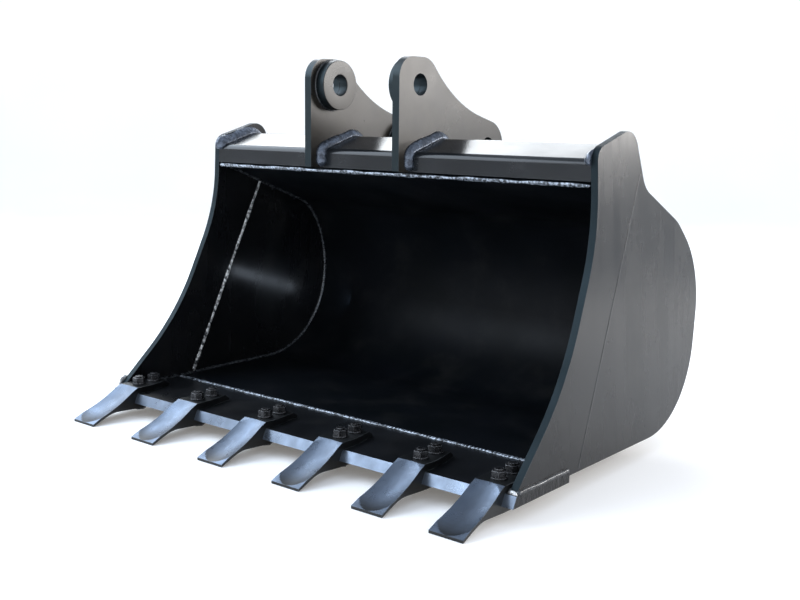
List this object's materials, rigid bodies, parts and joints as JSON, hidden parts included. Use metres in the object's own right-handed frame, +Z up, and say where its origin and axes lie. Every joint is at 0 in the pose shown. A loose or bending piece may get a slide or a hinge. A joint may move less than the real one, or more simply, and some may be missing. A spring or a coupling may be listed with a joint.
{
  "type": "excavator bucket",
  "caption": "Welded steel digging bucket for a mid-size excavator, with a box top beam, two pin ears, a flat lip blade and bolt-on forked teeth.",
  "frame": {"origin": "centre of the arm pin bore, midway between the two ears", "axes": "+X across the bucket along the pins, +Y from the mouth towards the back, +Z up with the floor level"},
  "size_m": [1.212, 0.9158, 0.875],
  "materials": {
    "shell_paint": "gloss",
    "beam_paint": "gloss",
    "lip_paint": "gloss",
    "ear_paint": "gloss",
    "tooth_paint": "gloss",
    "fastener_steel": "dark oiled, worn bright at the corners"
  },
  "bodies": {
    "root": {"side_cutter_left": "shell_paint", "side_cutter_right": "shell_paint", "side_plate_left": "shell_paint", "side_plate_right": "shell_paint", "wrapper_plate": "shell_paint", "beam_front_plate": "beam_paint", "beam_rear_plate": "beam_paint", "beam_diaphragm_left": "beam_paint", "beam_diaphragm_right": "beam_paint", "cutting_edge": "lip_paint", "ear_left": "ear_paint", "ear_right": "ear_paint", "arm_pin_boss_left": "ear_paint", "arm_pin_boss_right": "ear_paint", "link_pin_boss_left": "ear_paint", "link_pin_boss_right": "ear_paint", "tooth_1": "tooth_paint", "tooth_2": "tooth_paint", "tooth_3": "tooth_paint", "tooth_4": "tooth_paint", "tooth_5": "tooth_paint", "tooth_6": "tooth_paint", "tooth_bolts": "fastener_steel", "tooth_nuts": "fastener_steel", "tooth_washers": "fastener_steel"}
  },
  "joints": []
}
